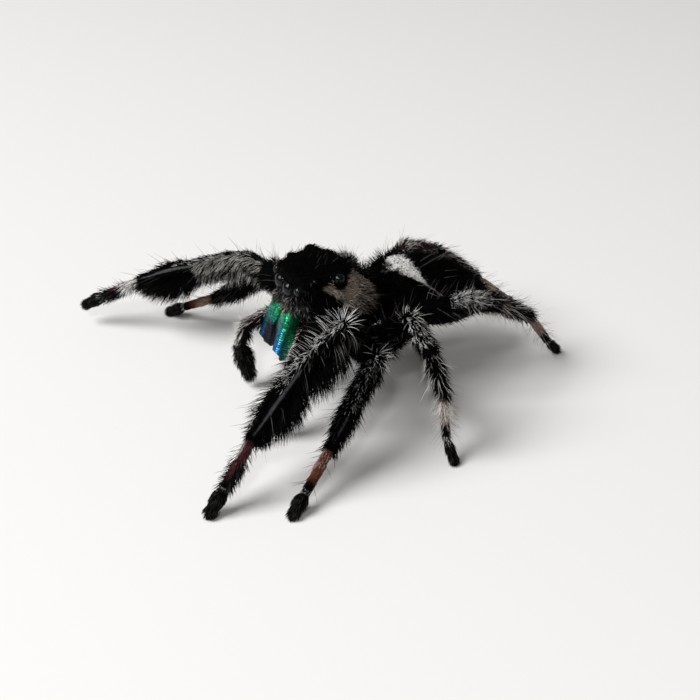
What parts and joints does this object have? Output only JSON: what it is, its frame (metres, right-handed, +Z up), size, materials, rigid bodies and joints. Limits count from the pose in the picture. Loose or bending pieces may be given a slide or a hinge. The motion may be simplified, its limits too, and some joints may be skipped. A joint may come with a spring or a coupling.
{
  "type": "jumping spider",
  "caption": "Life-size still model of a furry black jumping spider with large front eyes and green-blue jaws, standing alert with its front leg raised.",
  "frame": {"origin": "centre of the bounding box's base, on the ground under the spider", "axes": "+Z up, -Y the way the spider faces, +X its left side"},
  "size_m": [0.0208, 0.0224, 0.0075],
  "materials": {
    "coat": "matte fur of short hairs over dark skin, with pale hairs in bands",
    "eye": "polished, clear and black",
    "jaw": "glossy iridescent green to blue shell with fine cross ridges",
    "fang": "glossy dark brown horn"
  },
  "bodies": {
    "root": {"eye_anterior_median_L": "eye", "eye_anterior_lateral_L": "eye", "eye_posterior_median_L": "eye", "eye_posterior_lateral_L": "eye", "chelicera_L": "jaw", "fang_L": "fang", "eye_anterior_median_R": "eye", "eye_anterior_lateral_R": "eye", "eye_posterior_median_R": "eye", "eye_posterior_lateral_R": "eye", "chelicera_R": "jaw", "fang_R": "fang", "cephalothorax": "coat", "pedicel": "coat", "abdomen": "coat", "spinnerets": "coat", "leg_L1_femur": "coat", "leg_L1_patella": "coat", "leg_L1_tibia": "coat", "leg_L1_metatarsus": "coat", "leg_L1_tarsus": "coat", "leg_L2_femur": "coat", "leg_L2_patella": "coat", "leg_L2_tibia": "coat", "leg_L2_metatarsus": "coat", "leg_L2_tarsus": "coat", "leg_L3_femur": "coat", "leg_L3_patella": "coat", "leg_L3_tibia": "coat", "leg_L3_metatarsus": "coat", "leg_L3_tarsus": "coat", "leg_L4_femur": "coat", "leg_L4_patella": "coat", "leg_L4_tibia": "coat", "leg_L4_metatarsus": "coat", "leg_L4_tarsus": "coat", "leg_R1_femur": "coat", "leg_R1_patella": "coat", "leg_R1_tibia": "coat", "leg_R1_metatarsus": "coat", "leg_R1_tarsus": "coat", "leg_R2_femur": "coat", "leg_R2_patella": "coat", "leg_R2_tibia": "coat", "leg_R2_metatarsus": "coat", "leg_R2_tarsus": "coat", "leg_R3_femur": "coat", "leg_R3_patella": "coat", "leg_R3_tibia": "coat", "leg_R3_metatarsus": "coat", "leg_R3_tarsus": "coat", "leg_R4_femur": "coat", "leg_R4_patella": "coat", "leg_R4_tibia": "coat", "leg_R4_metatarsus": "coat", "leg_R4_tarsus": "coat", "palp_L_arm": "coat", "palp_L_tarsus": "coat", "palp_R_arm": "coat", "palp_R_tarsus": "coat"}
  },
  "joints": []
}
